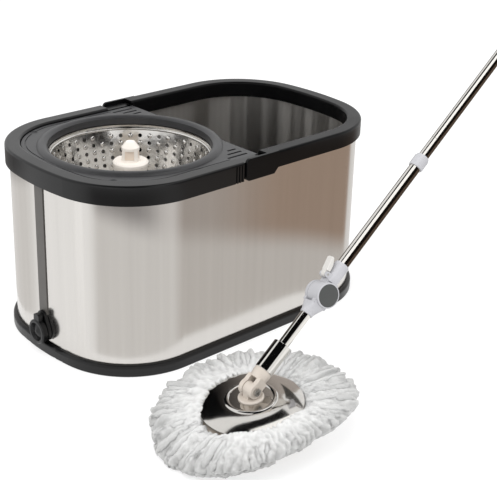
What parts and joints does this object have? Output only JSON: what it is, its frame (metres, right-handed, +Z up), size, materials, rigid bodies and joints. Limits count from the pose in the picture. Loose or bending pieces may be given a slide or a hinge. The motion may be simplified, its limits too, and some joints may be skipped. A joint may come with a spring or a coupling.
{
  "type": "spin mop",
  "caption": "Oval steel mop bucket with a spinning wringer basket and swing handle, beside a round strand mop on a folding telescopic press pole.",
  "frame": {"origin": "centre of the bucket's flat underside", "axes": "+Z up, +X along the bucket from the basket end to the washing end, which is also the way the mop's pole leans, -Y towards the mop"},
  "size_m": [1.0223, 0.5883, 0.7746],
  "materials": {
    "black_plastic": "moulded black plastic with a fine texture",
    "steel_band": "polished sheet steel",
    "basket_steel": "polished perforated sheet",
    "white_plastic": "moulded white plastic",
    "cream_plastic": "moulded cream plastic",
    "grey_plastic": "dark grey moulded plastic",
    "nylon": "natural nylon",
    "chrome": "polished chrome plate",
    "steel": "plain steel",
    "seal_rubber": "black rubber",
    "microfibre": "white chenille strands"
  },
  "bodies": {
    "bucket": {"base_tray": "black_plastic", "wall_gasket": "seal_rubber", "steel_wall": "steel_band", "seam_strip": "black_plastic", "rim": "black_plastic", "handle_pivots": "steel", "spin_deck": "black_plastic", "basket_cradle": "black_plastic", "cradle_screws": "steel", "spindle_pin": "steel", "thrust_washer": "nylon", "drain_body": "black_plastic", "drain_gasket": "seal_rubber", "drain_nut": "black_plastic"},
    "handle": {"handle_bail": "black_plastic"},
    "basket": {"basket_bowl": "basket_steel", "basket_hub": "white_plastic", "hub_bush": "nylon", "hub_screws": "steel"},
    "drain_knob": {"drain_knob": "black_plastic"},
    "mop_head": {"head_plate": "chrome", "plate_carrier": "cream_plastic", "refill_ring": "cream_plastic", "mop_pad": "microfibre", "knuckle_bracket": "cream_plastic", "bracket_screw": "steel"},
    "lower_pole": {"yoke": "cream_plastic", "tilt_pin": "steel", "tilt_nut": "steel", "pole_sleeve": "chrome", "lower_tube": "chrome", "lower_socket": "white_plastic", "fold_pin": "steel", "fold_cap": "grey_plastic"},
    "mid_pole": {"upper_socket": "white_plastic", "lever_pin": "steel", "mid_tube": "chrome", "screw_seat": "nylon", "drive_screw": "steel"},
    "lock_lever": {"lock_lever": "white_plastic", "lever_spring": "steel"},
    "collar": {"collar": "white_plastic"},
    "slide_bush": {"slide_bush": "nylon"},
    "upper_pole": {"drive_nut": "nylon", "upper_tube": "chrome", "tube_coupler": "steel", "top_tube": "chrome", "grip": "grey_plastic", "grip_cap": "grey_plastic"}
  },
  "joints": [
    {"name": "handle_swing", "type": "hinge", "parent": "bucket", "child": "handle", "pos_m": [-0.0195, 0, 0.241], "axis": [0, -1, 0], "range_deg": [0, 90]},
    {"name": "basket_spin", "type": "hinge", "parent": "bucket", "child": "basket", "pos_m": [-0.0994, 0, 0.16], "axis": [0, 0, 1], "continuous": true},
    {"name": "drain_turn", "type": "hinge", "parent": "bucket", "child": "drain_knob", "pos_m": [-0.25, 0, 0.031], "axis": [-1, 0, 0], "range_deg": [0, 90]},
    {"name": "mop_lift", "type": "slide", "parent": "bucket", "child": "mop_head", "axis": [0, 0, 1], "range_m": [0, 0.35]},
    {"name": "pole_tilt", "type": "hinge", "parent": "mop_head", "child": "lower_pole", "pos_m": [-0.1785, -0.3177, 0.064], "axis": [0, 1, 0], "range_deg": [-125, 18]},
    {"name": "pole_fold", "type": "hinge", "parent": "lower_pole", "child": "mid_pole", "pos_m": [-0.07069, -0.3177, 0.14853], "axis": [0.1907, 0.9511, -0.2432], "range_deg": [-90, 0]},
    {"name": "lock_press", "type": "hinge", "parent": "mid_pole", "child": "lock_lever", "pos_m": [-0.06199, -0.31399, 0.16986], "axis": [-0.1907, -0.9511, 0.2432], "range_deg": [0, 35], "stiffness_Nm_per_rad": 0.05, "springref_deg": -11.46},
    {"name": "collar_twist", "type": "hinge", "parent": "mid_pole", "child": "collar", "pos_m": [0.08906, -0.3177, 0.27379], "axis": [0.7869, 0, 0.617], "range_deg": [0, 90]},
    {"name": "pole_press", "type": "slide", "parent": "mid_pole", "child": "slide_bush", "axis": [-0.7869, 0, -0.617], "range_m": [0, 0.09]},
    {"name": "drive_spin", "type": "hinge", "parent": "slide_bush", "child": "upper_pole", "pos_m": [0.05758, -0.3177, 0.24911], "axis": [-0.7869, 0, -0.617], "range_deg": [0, 720]}
  ],
  "couplings": [
    {"joint": "drive_spin", "follows": "pole_press", "rad_per_m": 139.62}
  ]
}
